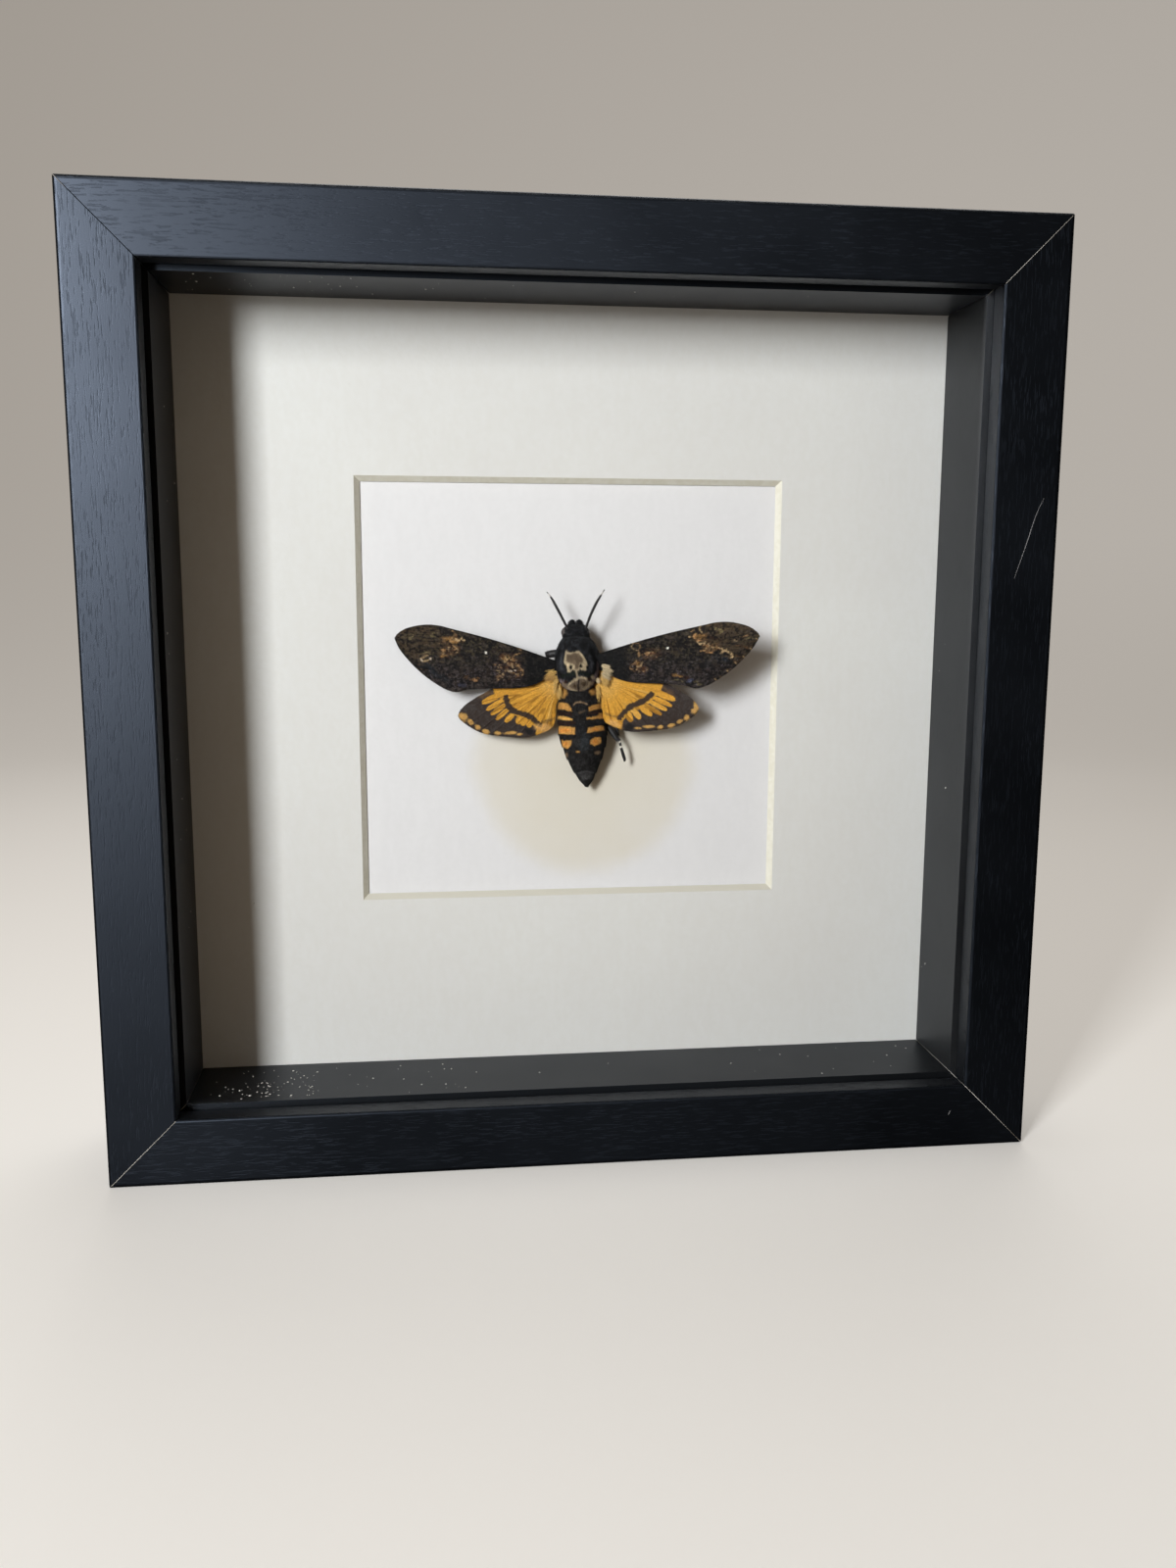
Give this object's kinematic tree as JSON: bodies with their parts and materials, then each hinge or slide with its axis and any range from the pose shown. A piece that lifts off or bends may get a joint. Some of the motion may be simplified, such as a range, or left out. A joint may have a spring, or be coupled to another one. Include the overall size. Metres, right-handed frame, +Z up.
{
  "type": "framed hawkmoth specimen",
  "caption": "Death's-head hawkmoth with spread wings on a white card, behind a bevelled mat and glass in a deep square black box frame.",
  "frame": {"origin": "middle of the footprint, on the surface that the frame's lower edge stands on", "axes": "+Z up, +X to the viewer's right, and the glass faces -Y"},
  "size_m": [0.25, 0.045, 0.25],
  "materials": {
    "frame_foil": "black wood-grain foil, satin",
    "spacer_foil": "black foil, satin",
    "glass": "clear polished",
    "mat_paper": "matt, off-white with a cream core",
    "card_paper": "matt white, with an oily stain",
    "hardboard": "brown pressed fibre",
    "steel": "zinc plated",
    "forewing_scales": "matt scales, near black with ochre and cream marks",
    "hindwing_scales": "matt scales, yellow with dark bands",
    "body_fur": "dense short fur",
    "abdomen_fur": "short fur, dark with orange patches",
    "limb_shell": "dull dark shell with fine hairs",
    "dried_glue": "dried, slightly yellow"
  },
  "bodies": {
    "root": {"rail_top": "frame_foil", "rail_left": "frame_foil", "rail_bottom": "frame_foil", "rail_right": "frame_foil", "spacer_top": "spacer_foil", "spacer_left": "spacer_foil", "spacer_bottom": "spacer_foil", "spacer_right": "spacer_foil", "glass_pane": "glass", "mat_board": "mat_paper", "specimen_card": "card_paper", "backing_board": "hardboard", "sawtooth_hanger": "steel", "tab_top_1": "steel", "tab_top_2": "steel", "tab_left_1": "steel", "tab_left_2": "steel", "tab_bottom_1": "steel", "tab_bottom_2": "steel", "tab_right_1": "steel", "tab_right_2": "steel", "moth_head": "body_fur", "moth_thorax": "body_fur", "moth_abdomen": "abdomen_fur", "forewing_left": "forewing_scales", "forewing_right": "forewing_scales", "hindwing_left": "hindwing_scales", "hindwing_right": "hindwing_scales", "antenna_left": "limb_shell", "antenna_right": "limb_shell", "foreleg_left": "limb_shell", "midleg_right": "limb_shell", "hindleg_right": "limb_shell", "glue_dab": "dried_glue"}
  },
  "joints": []
}
